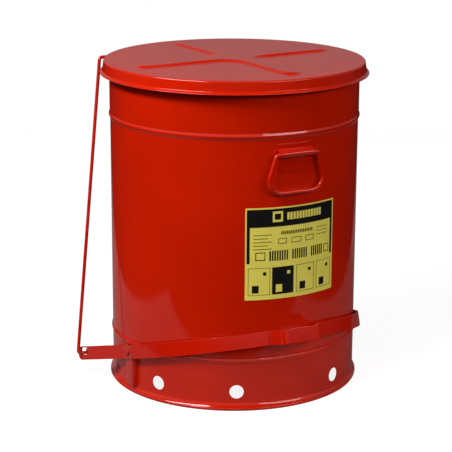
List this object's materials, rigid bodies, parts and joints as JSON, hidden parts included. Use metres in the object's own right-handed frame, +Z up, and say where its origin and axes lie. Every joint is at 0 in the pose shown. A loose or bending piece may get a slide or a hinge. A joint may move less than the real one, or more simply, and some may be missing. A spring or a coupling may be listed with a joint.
{
  "type": "oily waste can",
  "caption": "Round red sheet-steel safety waste can with a raised vented base, foot-operated self-closing lid, lift rod and wire handles.",
  "frame": {"origin": "middle of the overall outline at floor level; the can's own axis is at x 0.017, y 0.005", "axes": "+Z up; the pedal, front handle and label face -Y; the lid's hinge is at +Y; the lift rod is at -X"},
  "size_m": [0.5243, 0.53, 0.5985],
  "materials": {
    "body_paint": "gloss powder coat, slight orange peel",
    "lid_paint": "gloss powder coat, slight orange peel",
    "base_paint": "gloss powder coat, scuffed at the hem",
    "lever_paint": "gloss powder coat, worn on the edges",
    "handle_paint": "gloss powder coat",
    "hardware_paint": "gloss powder coat over rivets and hinge",
    "zinc_steel": "bright zinc plate",
    "label_vinyl": "satin printed vinyl"
  },
  "bodies": {
    "root": {"base_ring": "base_paint", "raised_bottom": "base_paint", "body_shell": "body_paint", "bracket_rivet_right": "hardware_paint", "bracket_rivet_left": "hardware_paint", "hinge_bracket": "hardware_paint", "hinge_pin": "zinc_steel", "pivot_bracket_left": "lever_paint", "pivot_rivet_left": "hardware_paint", "pivot_bracket_right": "lever_paint", "pivot_rivet_right": "hardware_paint", "handle_mount_front": "handle_paint", "handle_mount_rear": "handle_paint", "label": "label_vinyl"},
    "lid": {"lid_cover": "lid_paint", "lid_hinge_leaf": "hardware_paint", "lid_hinge_rivet_right": "hardware_paint", "lid_hinge_rivet_left": "hardware_paint"},
    "lever": {"foot_lever": "lever_paint"},
    "rod": {"lift_rod": "lever_paint", "rod_push_nut": "zinc_steel"},
    "bail_front": {"bail_front": "handle_paint"},
    "bail_rear": {"bail_rear": "handle_paint"}
  },
  "joints": [
    {"name": "lid_hinge", "type": "hinge", "parent": "root", "child": "lid", "pos_m": [0.017, 0.259, 0.572], "axis": [-1, 0, 0], "range_deg": [0, 60]},
    {"name": "lever_pivot", "type": "hinge", "parent": "root", "child": "lever", "pos_m": [0.017, -0.029, 0.078], "axis": [1, 0, 0], "range_deg": [0, 28.5]},
    {"name": "rod_pivot", "type": "hinge", "parent": "lid", "child": "rod", "pos_m": [-0.173, 0.183, 0.584], "axis": [1, 0, 0], "range_deg": [0, 55.3]},
    {"name": "front_handle_swing", "type": "hinge", "parent": "root", "child": "bail_front", "pos_m": [0.017, -0.2281, 0.465], "axis": [-1, 0, 0], "range_deg": [0, 165]},
    {"name": "rear_handle_swing", "type": "hinge", "parent": "root", "child": "bail_rear", "pos_m": [0.017, 0.2381, 0.465], "axis": [1, 0, 0], "range_deg": [0, 165]}
  ],
  "couplings": [
    {"joint": "lever_pivot", "follows": "lid_hinge", "ratio": 0.47316},
    {"joint": "rod_pivot", "follows": "lid_hinge", "ratio": 0.91887}
  ]
}
